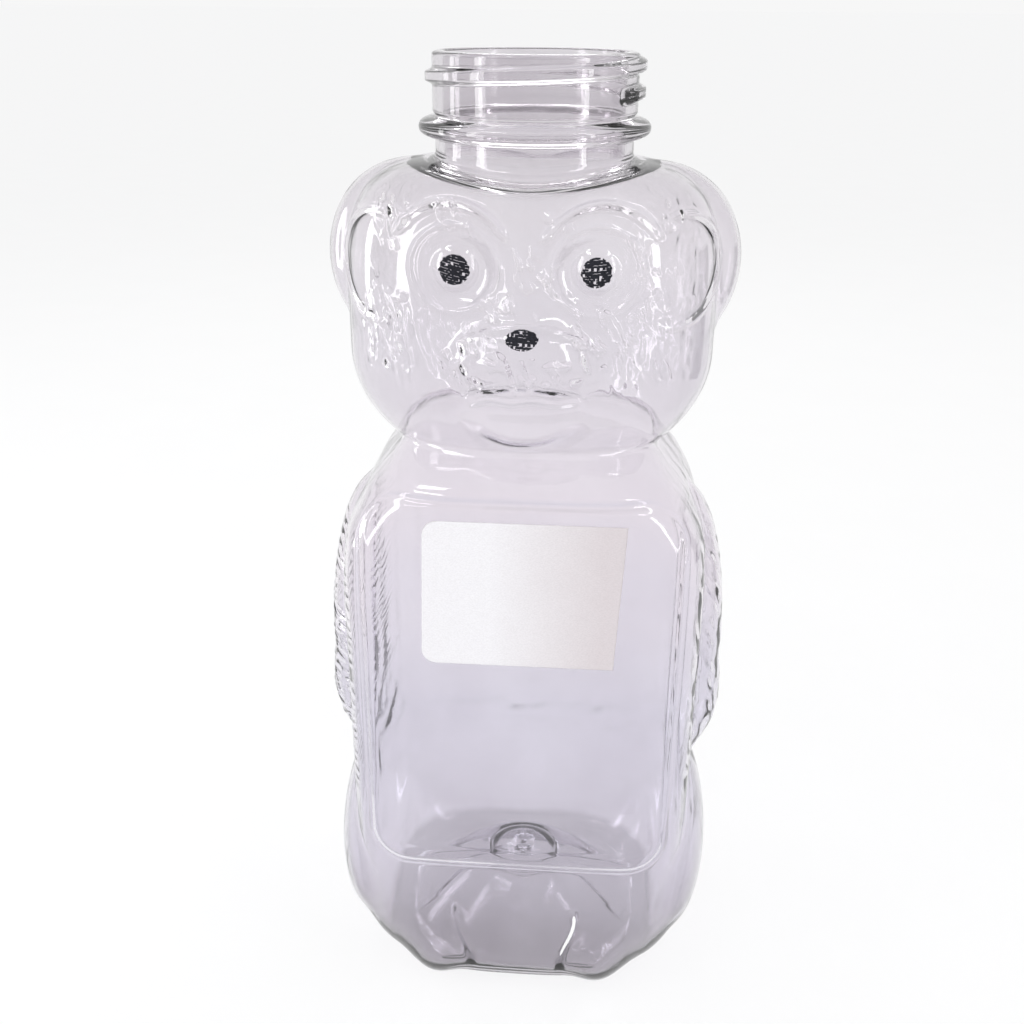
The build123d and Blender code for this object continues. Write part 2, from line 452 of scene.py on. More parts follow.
def cell_noise(across, along, cell, seed):
    """Noise whose cells have this width and height in millimetres."""
    return noise(across / cell[0], along / cell[1], seed)


def line_rise(distance, half_width):
    """A rounded line's height at a distance from its middle, where it is one."""
    return np.exp(-((distance / half_width) ** 2))


def round_off(distance, radius):
    """How far a rounded edge falls back at a distance from its end."""
    depth = np.clip(radius - distance, 0, radius)
    return radius - np.sqrt(radius**2 - depth**2)


def soft_union(first, second, blend):
    mix = np.clip(0.5 + 0.5 * (second - first) / blend, 0, 1)
    return second * (1 - mix) + first * mix - blend * mix * (1 - mix)


def soft_cut(form, tool, blend):
    return -soft_union(-form, tool, blend)


def torso(x, y, z):
    share = z / torso_height
    levels, widths, depths, powers = torso_shares.T
    half_width = torso_half_width * smooth_curve(levels, widths, share)
    half_depth = torso_half_depth * smooth_curve(levels, depths, share)
    power = torso_squareness * smooth_curve(levels, powers, share)
    radius = np.hypot(x, y) + TINY
    ratio = (np.abs(x / half_width) ** power + np.abs(y / half_depth) ** power) ** (1 / power)
    return np.maximum(radius - radius / (ratio + TINY), z - torso_height)


def head(x, y, z):
    """Squarish above its middle height and round below, as seen from the front."""
    lift = z - head_middle_height
    wide = np.abs(x / head_half_width) ** head_squareness
    plan = (wide + np.abs(y / head_half_depth) ** head_squareness) ** (1 / head_squareness)
    tall = np.abs(lift / head_rise) ** crown_squareness
    crown = (plan**crown_squareness + tall) ** (1 / crown_squareness)
    chin = np.hypot(plan, lift / head_drop)
    ratio = np.where(lift > 0, crown, chin) + TINY
    reach = np.sqrt(x**2 + y**2 + lift**2) + TINY
    return reach - reach / ratio


def ellipsoid(x, y, z, place, reach):
    a, b, c = x - place[0], y - place[1], z - place[2]
    near = np.sqrt((a / reach[0]) ** 2 + (b / reach[1]) ** 2 + (c / reach[2]) ** 2) + TINY
    steep = np.sqrt((a / reach[0] ** 2) ** 2 + (b / reach[1] ** 2) ** 2 + (c / reach[2] ** 2) ** 2)
    return near * (near - 1) / (steep + TINY)


def arm(x, y, z):
    forward, rise = y - arm_middle[1], z - arm_middle[2]
    along = rise * math.cos(arm_tilt) + forward * math.sin(arm_tilt)
    across = forward * math.cos(arm_tilt) - rise * math.sin(arm_tilt)
    return ellipsoid(x, across, along, (arm_middle[0], 0, 0), arm_reach)


def panel_edge(x, z):
    """Signed distance to the panel's rounded outline, seen from the front."""
    half_height = panel_height / 2
    a = np.abs(x) - (panel_half_width - panel_corner_radius)
    c = np.abs(z - panel_bottom - half_height) - (half_height - panel_corner_radius)
    outside = np.hypot(np.maximum(a, 0), np.maximum(c, 0))
    return outside + np.minimum(np.maximum(a, c), 0) - panel_corner_radius


def bear(x, y, z):
    """The closed bear without its fine moulded detail: negative inside, in millimetres."""
    side = np.abs(x)
    collar = collar_blend + (collar_blend_behind - collar_blend) * fade_in(y, *collar_blend_fade)
    form = soft_union(torso(x, y, z), head(x, y, z), collar)
    form = soft_union(form, arm(side, y, z), arm_blend)
    for place, reach, blend in side_swells:
        form = soft_union(form, ellipsoid(side, y, z, place, reach), blend)
    form = soft_cut(form, ellipsoid(side, y, z, *eye_socket), eye_socket_blend)
    form = soft_union(form, ellipsoid(side, y, z, *eyeball), eyeball_blend)
    sharpness = np.where(y > 0, back_panel_blend, front_panel_blend)
    slab = -soft_union(-panel_edge(x, z), np.abs(y) - panel_plane_reach, sharpness)
    form = soft_cut(form, slab, sharpness)
    ends = np.maximum(neck_foot_height - z, z - rim_height)
    neck = np.maximum(np.hypot(x, y) - lower_neck_radius, ends)
    return soft_cut(soft_union(form, neck, neck_blend), z, floor_blend)


def skin_points(origins, directions):
    """Where rays from inside the bear meet its skin."""
    low = np.zeros(directions.shape[:-1])
    high = low + ray_reach
    for _ in range(ray_halvings):
        middle = (low + high) / 2
        place = origins + directions * middle[..., None]
        inside = bear(place[..., 0], place[..., 1], place[..., 2]) < 0
        low = np.where(inside, middle, low)
        high = np.where(inside, high, middle)
    return origins + directions * ((low + high) / 2)[..., None]


def thread_rise(turn, height):
    """How far the screw thread stands out: a right-hand ridge that runs out at both ends."""
    rise = np.zeros(np.broadcast(turn, height).shape)
    whole = math.tau * thread_turns
    for lap in range(math.ceil(thread_turns)):
        along = np.mod(turn - thread_start_angle, math.tau) + math.tau * lap
        centre = rim_height - thread_start_drop + thread_pitch * along / math.tau
        ends = fade_in(along, 0, thread_run_out) * fade_out(along, whole, thread_run_out)
        flank = fade_out(np.abs(height - centre), thread_half_width, thread_flank)
        rise = np.maximum(rise, thread_height * flank * ends * (along < whole))
    return rise


def neck_radius(turn, height):
    """Outside radius of the neck, with its thread, its transfer bead and a rounded rim."""
    drop = rim_height - height
    lower = fade_in(drop, upper_neck_drop, neck_taper)
    radius = thread_root_radius + (lower_neck_radius - thread_root_radius) * lower
    across = np.clip(np.abs(drop - bead_drop) / bead_half_height, 0, 1)
    bead = bead_height * (1 - across**bead_flatness) ** bead_roundness
    return radius + bead + thread_rise(turn, height) - round_off(drop, rim_round)


def dome_lift(radius, reach):
    """Height of the pushed-up base at a radius, where it starts rising at its reach."""
    share = np.clip(radius / reach, 0, 1)
    lift = dome_height * (1 - share**dome_flatness) ** dome_softness
    ring = gate_ring_height * line_rise(radius - gate_ring_radius, gate_ring_half_width)
    nub = gate_nub_height * line_rise(radius, gate_nub_radius)
    return lift - ring - nub


def outer_rows():
    """Rows of points down the outside of the shell, from the rim to the middle of the base."""
    turns = np.arange(columns) * math.tau / columns
    level = np.stack([np.cos(turns), np.sin(turns), np.zeros(columns)], axis=1)
    up = np.array([0, 0, 1.0])

    def climbing_rows(height, climbs):
        """Skin points on rays that leave the axis at one height, at these angles."""
        directions = np.cos(climbs)[..., None] * level + np.sin(climbs)[..., None] * up
        return skin_points(height * up + 0 * directions, directions)

    heights = np.linspace(rim_height, neck_start_height, neck_rows)[:, None]
    neck = neck_radius(turns, heights)[..., None] * level + heights[..., None] * up

    steepest = math.atan2(neck_start_height - head_ray_height, lower_neck_radius)
    crown = climbing_rows(head_ray_height, np.linspace(steepest, 0, crown_rows + 1)[1:, None])

    heights = np.linspace(head_ray_height, base_ray_height, side_rows + 1)[1:, None, None]
    side = skin_points(heights * up + 0 * level, level + 0 * heights)

    near_floor = skin_points(outline_height * up + 0 * level, level)
    outline = np.hypot(near_floor[:, 0], near_floor[:, 1])
    lowest = -np.arctan2(base_ray_height, heel_inner_share * outline)
    heel = climbing_rows(base_ray_height, np.linspace(0, 1, heel_rows + 1)[1:, None] * lowest)

    ellipse = 1 / np.hypot(np.cos(turns) / dome_half_width, np.sin(turns) / dome_half_depth)
    reach = np.minimum(ellipse, dome_edge_share * outline)
    radii = np.linspace(heel_inner_share, dome_inner_share, dome_rows + 1)[1:, None] * outline
    dome = radii[..., None] * level + dome_lift(radii, reach)[..., None] * up
    return np.concatenate([neck, crown, side, heel, dome])


def normals_of(rows):
    """Outward normals of a grid of points that closes on itself sideways."""
    sideways = np.roll(rows, -1, axis=1) - np.roll(rows, 1, axis=1)
    downwards = np.gradient(rows, axis=0)
    normal = np.cross(downwards, sideways)
    return normal / (np.linalg.norm(normal, axis=2, keepdims=True) + TINY)


def arm_fur(x, y, z, around, strokes):
    """Ticks on the left arm and strokes on the right one, fainter behind."""
    wander = tick_wander * cell_noise(around, z, tick_wander_cell, seed=3)
    ticks = np.sin(math.tau * (z / tick_pitch + wander))
    ticks = ticks * fade_in(cell_noise(around, z, tick_patch_cell, seed=5), *tick_patch_fade)
    place = fade_in(np.abs(x), *arm_fur_side)
    place = place * fade_in(z, *arm_fur_bottom) * fade_out(z, *arm_fur_top)
    front = fade_in(-y, *arm_fur_front)
    place = place * (arm_fur_behind_share + (1 - arm_fur_behind_share) * front)
    left = fade_in(-x, *left_arm_side)
    return place * (left * tick_height * ticks + (1 - left) * stroke_height * strokes)


def head_fur(x, y, z, around, strokes):
    """Mottled fur low on the cheeks and on the back of the head."""
    side = np.abs(x)
    mottle = cell_noise(around, z, mottle_cell, seed=9) - 0.5
    cheek = fade_in(-y, *cheek_fur_front)
    cheek = cheek * fade_in(side, *cheek_fur_inner) * fade_out(side, *cheek_fur_outer)
    cheek = cheek * fade_in(z, *cheek_fur_bottom) * fade_out(z, *cheek_fur_top)
    nape = nape_fur_share * fade_in(y, *nape_fur_depth)
    nape = nape * fade_in(z, *nape_fur_bottom) * fade_out(z, *nape_fur_top)
    fur = mottle_height * mottle + head_stroke_height * strokes
    return fur * np.maximum(cheek, nape)


def face_tufts(x, y, z):
    """Tufts in patches over the face, clear of the eyes and the nose."""
    side = np.abs(x)
    tufts = fade_in(cell_noise(x + tuft_slant * z, z, tuft_cell, seed=17), *tuft_fade)
    patches = cell_noise(x + tuft_patch_shift, z, tuft_patch_cell, seed=19)
    patches = fade_in(patches, *tuft_patch_fade)
    off_eyes = fade_in(np.hypot(side - eye_offset, z - eye_height), *tufts_off_eye)
    nose_away = np.hypot(x, (z - nose_ink_height) * nose_flatness)
    off_nose = fade_in(nose_away, *tufts_off_nose)
    face = fade_in(-y, *tufts_front) * fade_out(side, *tufts_side)
    face = face * fade_in(z, *tufts_bottom) * fade_out(z, *tufts_top)
    return tuft_height * face * off_eyes * off_nose * tufts * patches


def fur_rise(x, y, z):
    """Short moulded fur on the arms, the cheeks, the back of the head and the face."""
    around = np.arctan2(y, x) * fur_radius
    strokes = cell_noise(around + stroke_slant * z, z - stroke_lean * around, stroke_cell, seed=7)
    strokes = strokes - 0.5
    fur = arm_fur(x, y, z, around, strokes) + head_fur(x, y, z, around, strokes)
    return fur + face_tufts(x, y, z)


def ring_rise(side, z, middle, stretch, radius, height, half_width):
    """A moulded ring, seen from the front."""
    away = np.hypot((side - middle[0]) * stretch[0], (z - middle[1]) * stretch[1])
    return height * line_rise(away - radius, half_width)


def detail_rise(x, y, z):
    """Moulded detail that stands out from the smooth bear, or sinks into it where negative."""
    side = np.abs(x)
    front = fade_in(-y, *face_front)
    rise = fur_rise(x, y, z)
    for middle, droop, wave, height, half_width, ends in face_lines:
        line = middle - droop * x**2 + wave * np.sin(x * face_wave_pitch)
        rise = rise + front * height * line_rise(z - line, half_width) * fade_out(side, *ends)
    rise = rise + front * ring_rise(side, z, *eye_ring)
    rise = rise + front * ring_rise(side, z, *brow_ring) * fade_in(z, *brow_bottom)
    crescent = fade_in(side, *ear_ring_side) * fade_in(-y, *ear_ring_front)
    rise = rise + crescent * ring_rise(side, z, *ear_ring)
    instep = instep_reach + instep_spread * fade_in(z, *instep_spread_fade)
    depth = np.where(x > 0, right_crease_depth, left_crease_depth)
    crease = line_rise(side - instep, crease_half_width) * fade_out(z, *crease_top)
    rise = rise - front * depth * crease
    low = fade_in(y, *back_wave_depth) * fade_in(z, *back_wave_bottom) * fade_out(z, *back_wave_top)
    wave = cell_noise(x + y + back_wave_shift, z, back_wave_cell, seed=13) - 0.5
    rise = rise + back_wave * low * wave
    ridge = panel_ridge * line_rise(panel_edge(x, z) - panel_ridge_gap, panel_ridge_half_width)
    return rise + fade_in(-y, *panel_ridge_front) * ridge


def wall_thickness(x, y, z, past_heel):
    """Wall behind each point of the outside, with slow ripples."""
    around = np.arctan2(y, x)
    across = np.cos(around) * ripple_cells_around + ripple_shift
    along = z / ripple_cell_height + np.sin(around)
    ripple = wall_ripple * (2 * noise(across, along, seed=11) - 1)
    root = fade_in(z, *neck_root_bottom) * fade_out(np.hypot(x, y), *neck_root_outside)
    wall = body_wall + (neck_root_wall - body_wall) * root + ripple * (1 - root)
    base = smooth_step(past_heel / (dome_rows + heel_rows))[:, None]
    return wall + (base_wall - body_wall) * base


def inner_rows(rows, normal, past_heel):
    """The inside: the outside moved in by the wall, with a straight bore in the neck."""
    x, y, z = rows[..., 0], rows[..., 1], rows[..., 2]
    inside = rows - normal * wall_thickness(x, y, z, past_heel)[..., None]
    turns = np.arange(columns) * math.tau / columns
    inside[:neck_rows, :, 0] = bore_radius * np.cos(turns)
    inside[:neck_rows, :, 1] = bore_radius * np.sin(turns)
    inside[:neck_rows, :, 2] = z[:neck_rows]
    root = inside[neck_rows:neck_rows + bore_ease_rows]
    ease = smooth_step(np.arange(bore_ease_rows) / bore_ease_rows)[:, None]
    narrow = np.minimum(1, bore_radius / np.hypot(root[..., 0], root[..., 1]))
    root[..., :2] *= (narrow * (1 - ease) + ease)[..., None]
    return inside


def base_shade_shares(y, z, past_heel):
    """How much painted base shade each point takes: under the bottle and, less, on the feet."""
    under = fade_in(past_heel / heel_rows, *base_shade_heel_fade)[:, None]
    feet = foot_shade_share * fade_in(-y, *foot_shade_front) * fade_out(z, *foot_shade_top)
    return np.maximum(under, feet)


def tube_faces(count):
    """Faces of a tube of point rows, each end closed on a pole; the poles come last."""
    index = np.arange(count * columns).reshape(count, columns)
    across = np.roll(index, -1, axis=1)
    quads = np.stack([index[:-1], across[:-1], across[1:], index[1:]], axis=2).reshape(-1, 4)
    first_pole, last_pole = count * columns, count * columns + 1
    faces = quads.tolist()
    faces += [[first_pole, int(b), int(a)] for a, b in zip(index[0], across[0])]
    faces += [[last_pole, int(a), int(b)] for a, b in zip(index[-1], across[-1])]
    return faces


def new_object(name, points, faces, smooth):
    mesh = bpy.data.meshes.new(name)
    mesh.from_pydata((points * MILLIMETRE).tolist(), [], faces)
    mesh.polygons.foreach_set("use_smooth", np.full(len(mesh.polygons), smooth))
    mesh.update()
    piece = bpy.data.objects.new(name, mesh)
    bpy.context.scene.collection.objects.link(piece)
    return piece


def make_shell():
    """The hollow bottle: the outside with its detail, joined at the rim to the inside."""
    rows = outer_rows()
    normal = normals_of(rows)
    x, y, z = rows[..., 0], rows[..., 1], rows[..., 2]
    number = np.arange(len(rows))
    past_heel = number - (len(rows) - dome_rows - heel_rows)
    moulded = ((number >= neck_rows) & (number < len(rows) - dome_rows))[:, None]
    rise = detail_rise(x, y, z) * fade_in(z, *detail_bottom) * moulded
    outside = rows + normal * rise[..., None]
    inside = inner_rows(rows, normal, past_heel)

    grid = np.concatenate([outside[::-1], inside])
    poles = [outside[-1].mean(axis=0), inside[-1].mean(axis=0)]
    points = np.concatenate([grid.reshape(-1, 3), poles])
    shell = new_object("clear_shell", points, tube_faces(len(grid)), True)

    # Painted shade under the base and on the feet, stored on the points for the material
    shares = base_shade_shares(y, z, past_heel)
    shares = np.concatenate([shares[::-1], shares]).reshape(-1)
    stored = shell.data.attributes.new(BASE_SHADE_SHARE, "FLOAT", "POINT")
    stored.data.foreach_set("value", np.concatenate([shares, [1, 1]]))
    return shell


def sheet_faces(kept):
    """Faces of a thin closed sheet made of the kept cells: its front, back and edges.

    The front's grid of points comes first, and the back's after it."""
    rows, cols = kept.shape[0] + 1, kept.shape[1] + 1
    index = np.arange(rows * cols).reshape(rows, cols)
    ringed = np.pad(kept, 1)
    faces = []
    for i, j in np.argwhere(kept):
        corners = [index[i, j], index[i, j + 1], index[i + 1, j + 1], index[i + 1, j]]
        faces.append(corners)
        faces.append([corner + index.size for corner in reversed(corners)])
        neighbours = (ringed[i, j + 1], ringed[i + 1, j + 2], ringed[i + 2, j + 1], ringed[i + 1, j])
        for number, neighbour in enumerate(neighbours):
            if not neighbour:
                first, second = corners[number], corners[(number + 1) % 4]
                faces.append([second, first, first + index.size, second + index.size])
    return np.array(faces)


def new_sheet(name, front, back, kept, smooth):
    """A thin closed sheet between two grids of points, without those that it leaves unused."""
    points = np.concatenate([front.reshape(-1, 3), back.reshape(-1, 3)])
    faces = sheet_faces(kept)
    used = np.unique(faces)
    place = np.full(len(points), -1)
    place[used] = np.arange(len(used))
    return new_object(name, points[used], place[faces].tolist(), smooth)


def inked_cells(u, v, half_size, slant, seed):
    """Which cells are inked: slanting lines of dashes in an oval with a ragged edge."""
    along = (v + slant * u) / ink_line_pitch
    line = np.floor(along)
    jag = ink_jag * (lattice(line, line * 0, seed) - 0.5)
    oval = (u + jag) ** 2 / half_size[0] ** 2 + v**2 / half_size[1] ** 2 < 1
    dash = np.floor((u + ink_dash * lattice(line, line * 0 + 1, seed)) / ink_dash)
    dropped = lattice(dash, line, seed + 2) > ink_kept_share
    missing = dropped & (np.mod(u / ink_dash, 1) > ink_dash_share)
    between = np.mod(along, 1) > ink_line_share
    broken = lattice(np.floor(u / ink_bridge_length), line, seed + 4) > ink_bridge_share
    return oval & ~missing & ~(between & broken)


def make_ink(name, middle, half_size, slant, seed):
    """A patch of jetted dashes on the shell's skin, built from small closed cells."""
    reach = max(half_size) + ink_margin
    ticks = np.arange(-reach, reach + ink_cell, ink_cell)
    across, up = np.meshgrid(ticks, ticks)
    origins = np.stack([middle[0] + across, 0 * across, middle[1] + up], axis=2)
    directions = np.zeros_like(origins)
    directions[..., 1] = -1
    skin = skin_points(origins, directions)
    skin[..., 1] -= detail_rise(skin[..., 0], skin[..., 1], skin[..., 2]) * ink_detail_share
    front, back = skin.copy(), skin.copy()
    front[..., 1] -= ink_lift + ink_depth
    back[..., 1] -= ink_back_lift
    u = (across[:-1, :-1] + across[1:, 1:]) / 2
    v = (up[:-1, :-1] + up[1:, 1:]) / 2
    return new_sheet(name, front, back, inked_cells(u, v, half_size, slant, seed), False)


def make_paper():
    """The blank sticker: round corners at the left and a cut, slightly ragged right edge."""
    steps = np.linspace(0, 1, paper_points)
    v, u = np.meshgrid(steps, steps, indexing="ij")
    z = sticker_bottom + v * (sticker_top - sticker_bottom)
    end = np.minimum(z - sticker_bottom, sticker_top - z)
    left = sticker_left - sticker_lean * (1 - v) + round_off(end, sticker_round)
    ragged = cut_wander * (noise(z / cut_wander_length, z * 0, seed=21) - 0.5)
    right = sticker_right - 2 * sticker_lean * (1 - v) + ragged
    x = left + u * (right - left)
    lift = paper_wave * cell_noise(x, z, paper_wave_cell, seed=23)
    front = np.stack([x, -paper_front - lift, z], axis=2)
    back = np.stack([x, 0 * x - paper_back, z], axis=2)
    kept = np.full((paper_points - 1, paper_points - 1), True)
    return new_sheet("paper_sticker", front, back, kept, True)


def new_material(name):
    made = bpy.data.materials.new(name)
    made.use_nodes = True
    return made, made.node_tree.nodes, made.node_tree.links


def add_noise(nodes, links, size, detail, stretch=(1, 1, 1)):
    """Noise over the piece in its own space; size is its grain per metre."""
    place = nodes.new("ShaderNodeTexCoord")
    turn = nodes.new("ShaderNodeMapping")
    turn.inputs["Scale"].default_value = stretch
    grain = nodes.new("ShaderNodeTexNoise")
    grain.inputs["Scale"].default_value = size
    grain.inputs["Detail"].default_value = detail
    links.new(place.outputs["Object"], turn.inputs["Vector"])
    links.new(turn.outputs["Vector"], grain.inputs["Vector"])
    return grain.outputs["Fac"]


def add_math(nodes, links, operation, *terms):
    """A calculation with terms that are outputs or plain numbers."""
    worked = nodes.new("ShaderNodeMath")
    worked.operation = operation
    for term, target in zip(terms, worked.inputs):
        if isinstance(term, float):
            target.default_value = term
        else:
            links.new(term, target)
    return worked.outputs["Value"]


def add_range(nodes, links, value, source, target=(0, 1)):
    """Maps a value from the source range to the target range."""
    mapped = nodes.new("ShaderNodeMapRange")
    mapped.inputs["From Min"].default_value = source[0]
    mapped.inputs["From Max"].default_value = source[1]
    mapped.inputs["To Min"].default_value = target[0]
    mapped.inputs["To Max"].default_value = target[1]
    links.new(value, mapped.inputs["Value"])
    return mapped.outputs["Result"]


def two_tone(nodes, links, value, first, second, source=noise_range):
    """A colour that runs from the first to the second over the source range."""
    ramp = nodes.new("ShaderNodeValToRGB")
    for stop, position, tone in zip(ramp.color_ramp.elements, source, (first, second)):
        stop.position = position
        stop.color = (*tone, 1)
    links.new(value, ramp.inputs["Fac"])
    return ramp.outputs["Color"]


def add_bump(nodes, links, shader, value, depth, strength):
    bump = nodes.new("ShaderNodeBump")
    bump.inputs["Distance"].default_value = depth * MILLIMETRE
    bump.inputs["Strength"].default_value = strength
    links.new(value, bump.inputs["Height"])
    links.new(bump.outputs["Normal"], shader.inputs["Normal"])


def is_seen(nodes, links):
    """One for rays from the camera and for those that mirror or pass through, else nought."""
    path = nodes.new("ShaderNodeLightPath").outputs
    either = add_math(nodes, links, "MAXIMUM", path["Is Camera Ray"], path["Is Glossy Ray"])
    return add_math(nodes, links, "MAXIMUM", either, path["Is Transmission Ray"])


def blend_colour(nodes, links, way, amount, first, second):
    """Blends an output with another, or with a plain colour; amount is an output or a number."""
    blend = nodes.new("ShaderNodeMix")
    blend.data_type = "RGBA"
    blend.blend_type = way
    if isinstance(amount, float):
        blend.inputs["Factor"].default_value = amount
    else:
        links.new(amount, blend.inputs["Factor"])
    links.new(first, blend.inputs["A"])
    if isinstance(second, tuple):
        blend.inputs["B"].default_value = (*second, 1)
    else:
        links.new(second, blend.inputs["B"])
    return blend.outputs["Result"]


def mix_shaders(nodes, links, amount, first, second, target):
    mix = nodes.new("ShaderNodeMixShader")
    links.new(amount, mix.inputs["Fac"])
    links.new(first, mix.inputs[1])
    links.new(second, mix.inputs[2])
    links.new(mix.outputs["Shader"], target)


def painted_height_shade(nodes, links):
    """Painted shade by height above the floor, a little uneven: darker low down, lightest at the
    chest, greyer at the head and neck.
    """
    place = nodes.new("ShaderNodeTexCoord")
    split = nodes.new("ShaderNodeSeparateXYZ")
    links.new(place.outputs["Object"], split.inputs["Vector"])
    stray = add_noise(nodes, links, size=160, detail=4)
    wander = tone_wander * MILLIMETRE
    uneven = add_math(nodes, links, "MULTIPLY_ADD", stray, wander, split.outputs["Z"])
    level = add_range(nodes, links, uneven, (0, rim_height * MILLIMETRE))
    ramp = nodes.new("ShaderNodeValToRGB")
    stops = ramp.color_ramp.elements
    stops.remove(stops[1])
    for number, (height, tone) in enumerate(painted_height_shades):
        stop = stops[0] if number == 0 else stops.new(height / rim_height)
        stop.position = height / rim_height
        stop.color = (*tone, 1)
    links.new(level, ramp.inputs["Fac"])
    return ramp.outputs["Color"]


def wall_tone_and_shade(nodes, links):
    """Painted shade: greyer by height, under the base, on the feet and at grazing edges; the thicker
    plastic at the base and neck gives a little of it.
    """
    share = nodes.new("ShaderNodeAttribute")
    share.attribute_name = BASE_SHADE_SHARE
    shade_by_height = painted_height_shade(nodes, links)
    base_shaded = blend_colour(nodes, links, "MIX", share.outputs["Fac"], shade_by_height, base_shade_tone)
    # Painted shade at grazing edges, darker as the plastic is seen more edge on
    facing = nodes.new("ShaderNodeLayerWeight")
    facing.inputs["Blend"].default_value = 0.5
    edge_shade = add_range(nodes, links, facing.outputs["Facing"], grazing_shade_range)
    return blend_colour(nodes, links, "MULTIPLY", edge_shade, base_shaded, grazing_shade_tone)


def clear_plastic():
    """Blown clear plastic: flow waves, faint haze, and a light shadow on the floor."""
    made, nodes, links = new_material("clear_blown_plastic")
    shader = nodes["Principled BSDF"]
    shader.inputs["Transmission Weight"].default_value = 1
    shader.inputs["IOR"].default_value = 1.575
    waves = add_noise(nodes, links, size=60, detail=3, stretch=(1, 1, 0.45))
    haze = add_noise(nodes, links, size=420, detail=4)
    tint = two_tone(nodes, links, waves, (0.86, 0.825, 0.865), (0.91, 0.88, 0.915))
    # The flow tint is darkened by painted shade by height, under the base and at grazing edges
    toned = blend_colour(nodes, links, "MULTIPLY", 1.0, tint, wall_tone_and_shade(nodes, links))
    links.new(toned, shader.inputs["Base Color"])
    roughness = add_range(nodes, links, haze, noise_range, (0.015, 0.06))
    links.new(roughness, shader.inputs["Roughness"])
    add_bump(nodes, links, shader, waves, depth=0.5, strength=0.35)
    path = nodes.new("ShaderNodeLightPath")
    clear = nodes.new("ShaderNodeBsdfTransparent")
    clear.inputs["Color"].default_value = (0.94, 0.935, 0.95, 1)
    surface = nodes["Material Output"].inputs["Surface"]
    shadow = path.outputs["Is Shadow Ray"]
    mix_shaders(nodes, links, shadow, shader.outputs["BSDF"], clear.outputs["BSDF"], surface)
    return made


def grainy_material(name, size, tones, roughness, depth, strength):
    """A material whose tone, roughness and fine bump all follow one noise."""
    made, nodes, links = new_material(name)
    shader = nodes["Principled BSDF"]
    grain = add_noise(nodes, links, size, detail=4)
    links.new(two_tone(nodes, links, grain, *tones), shader.inputs["Base Color"])
    spread = add_range(nodes, links, grain, noise_range, roughness)
    links.new(spread, shader.inputs["Roughness"])
    add_bump(nodes, links, shader, grain, depth, strength)
    return made, shader


def printed_ink():
    made, shader = grainy_material(
        "jetted_black_ink",
        size=5200,
        tones=((0.006, 0.006, 0.009), (0.03, 0.03, 0.04)),
        roughness=(0.55, 0.75),
        depth=0.02,
        strength=0.5,
    )
    shader.inputs["Specular IOR Level"].default_value = 0.15
    return made


def sticker_gum():
    made, shader = grainy_material(
        "pale_sticker_gum",
        size=700,
        tones=((0.8, 0.78, 0.74), (0.9, 0.89, 0.86)),
        roughness=(0.25, 0.5),
        depth=0.02,
        strength=0.4,
    )
    shader.inputs["Transmission Weight"].default_value = 0.4
    return made


def sticker_paper():
    """White paper with fibres, a little warmer and greyer towards its cut edge."""
    made, nodes, links = new_material("white_sticker_paper")
    shader = nodes["Principled BSDF"]
    fibres = add_noise(nodes, links, size=3200, detail=6, stretch=(1, 1, 2.2))
    cloud = add_noise(nodes, links, size=140, detail=3)
    place = nodes.new("ShaderNodeTexCoord")
    split = nodes.new("ShaderNodeSeparateXYZ")
    links.new(place.outputs["Generated"], split.inputs["Vector"])
    across = add_math(nodes, links, "MULTIPLY_ADD", cloud, paper_cloud_share, split.outputs["X"])
    base = two_tone(nodes, links, across, *paper_tones, source=paper_tone_range)
    grain = two_tone(nodes, links, fibres, paper_fibre_tone, (1, 1, 1))
    toned = blend_colour(nodes, links, "MULTIPLY", paper_fibre_share, base, grain)
    links.new(toned, shader.inputs["Base Color"])
    roughness = add_range(nodes, links, fibres, noise_range, (0.68, 0.9))
    links.new(roughness, shader.inputs["Roughness"])
    add_bump(nodes, links, shader, fibres, depth=0.03, strength=0.5)
    return made


def floor_white():
    """White that keeps the bottle's shadow, and glows a little only where it is seen."""
    made, nodes, links = new_material("white_floor")
    shader = nodes["Principled BSDF"]
    grain = add_noise(nodes, links, size=30, detail=2)
    tone = two_tone(nodes, links, grain, (0.86, 0.86, 0.86), (0.88, 0.88, 0.88))
    links.new(tone, shader.inputs["Base Color"])
    shader.inputs["Roughness"].default_value = 0.9
    shader.inputs["Specular IOR Level"].default_value = 0.1
    glow = nodes.new("ShaderNodeEmission")
    glow.inputs["Color"].default_value = (1, 1, 1, 1)
    share = add_math(nodes, links, "MULTIPLY", is_seen(nodes, links), floor_glow_share)
    surface = nodes["Material Output"].inputs["Surface"]
    mix_shaders(nodes, links, share, shader.outputs["BSDF"], glow.outputs["Emission"], surface)
    return made


def aimed(place, aim, axis):
    """The turn that points an axis of something at this place towards the aim."""
    return (Vector(aim) - Vector(place)).to_track_quat(axis, "Y").to_euler()


def add_lamp(name, place, aim, size, power):
    data = bpy.data.lights.new(name, "AREA")
    data.shape = "RECTANGLE"
    data.size, data.size_y = size
    data.energy = power
    lamp = bpy.data.objects.new(name, data)
    lamp.location = place
    lamp.rotation_euler = aimed(place, aim, "-Z")
    lamp.visible_camera = False
    bpy.context.scene.collection.objects.link(lamp)


def add_card():
    """A grey card that the camera doesn't see, for a darker edge in the plastic."""
    bpy.ops.mesh.primitive_plane_add(size=1, location=card_place)
    card = bpy.context.object
    card.name = "right_card"
    card.scale = (*card_size, 1)
    card.rotation_euler = aimed(card_place, card_aim, "Z")
    made, nodes, links = new_material("right_card_paint")
    nodes["Principled BSDF"].inputs["Base Color"].default_value = (card_tone, card_tone, card_tone, 1)
    nodes["Principled BSDF"].inputs["Roughness"].default_value = 0.8
    card.data.materials.append(made)
    card.visible_camera = False
    card.visible_shadow = False
    card.visible_diffuse = False


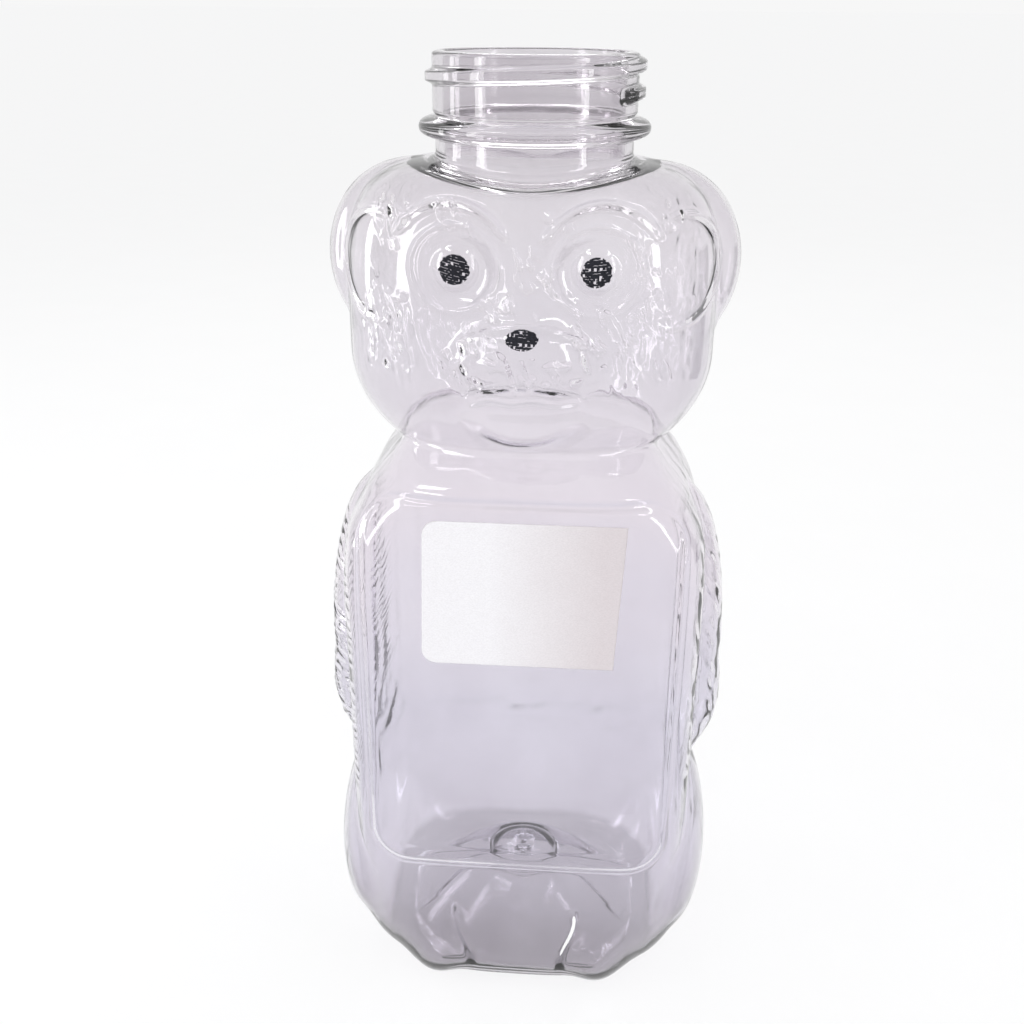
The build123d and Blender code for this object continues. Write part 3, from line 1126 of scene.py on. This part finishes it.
def add_floor():
    bpy.ops.mesh.primitive_plane_add(size=floor_size, location=(0, 0, -floor_drop))
    floor = bpy.context.object
    floor.name = "white_floor"
    floor.data.materials.append(floor_white())


def set_world():
    """White wherever it is seen, mirrored or seen through, and softer as a light."""
    world = bpy.data.worlds.new("white_surround")
    bpy.context.scene.world = world
    world.use_nodes = True
    nodes, links = world.node_tree.nodes, world.node_tree.links
    seen = nodes["Background"]
    seen.inputs["Color"].default_value = (1, 1, 1, 1)
    seen.inputs["Strength"].default_value = seen_strength
    light = nodes.new("ShaderNodeBackground")
    light.inputs["Color"].default_value = (*surround_tint, 1)
    light.inputs["Strength"].default_value = surround_strength
    backgrounds = light.outputs["Background"], seen.outputs["Background"]
    surface = nodes["World Output"].inputs["Surface"]
    mix_shaders(nodes, links, is_seen(nodes, links), *backgrounds, surface)


def set_camera():
    data = bpy.data.cameras.new("photo_camera")
    data.sensor_width = sensor_width
    data.lens = camera_focal_pixels / photo_pixels * sensor_width
    data.clip_start = nearest_seen
    data.clip_end = 2 * floor_size
    camera = bpy.data.objects.new("photo_camera", data)
    sideways, ahead = math.sin(camera_turn), math.cos(camera_turn)
    flat, down = math.cos(camera_pitch), math.sin(camera_pitch)
    forward = Vector((-sideways * flat, ahead * flat, -down))
    turn = forward.to_track_quat("-Z", "Y").to_matrix() @ Matrix.Rotation(camera_roll, 3, "Z")
    camera.matrix_world = Matrix.Translation(Vector(camera_place) * MILLIMETRE) @ turn.to_4x4()
    bpy.context.scene.collection.objects.link(camera)
    bpy.context.scene.camera = camera


def finish_piece(piece, node, material):
    piece.data.materials.append(material)
    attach(piece, "root")
    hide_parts(node)


finish_piece(make_shell(), "bottle", clear_plastic())
ink = printed_ink()
for name, node, middle, half_size, slant, seed in ink_patches:
    finish_piece(make_ink(name, middle, half_size, slant, seed), node, ink)
finish_piece(make_paper(), "label_paper", sticker_paper())
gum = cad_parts["label_adhesive"]
gum.data.materials.clear()
gum.data.materials.append(sticker_gum())

add_floor()
for name, (place, aim, lamp_size, power) in lamps.items():
    add_lamp(name, place, aim, lamp_size, power)
add_card()

bpy.context.scene.view_settings.view_transform = "Standard"
set_world()
set_camera()
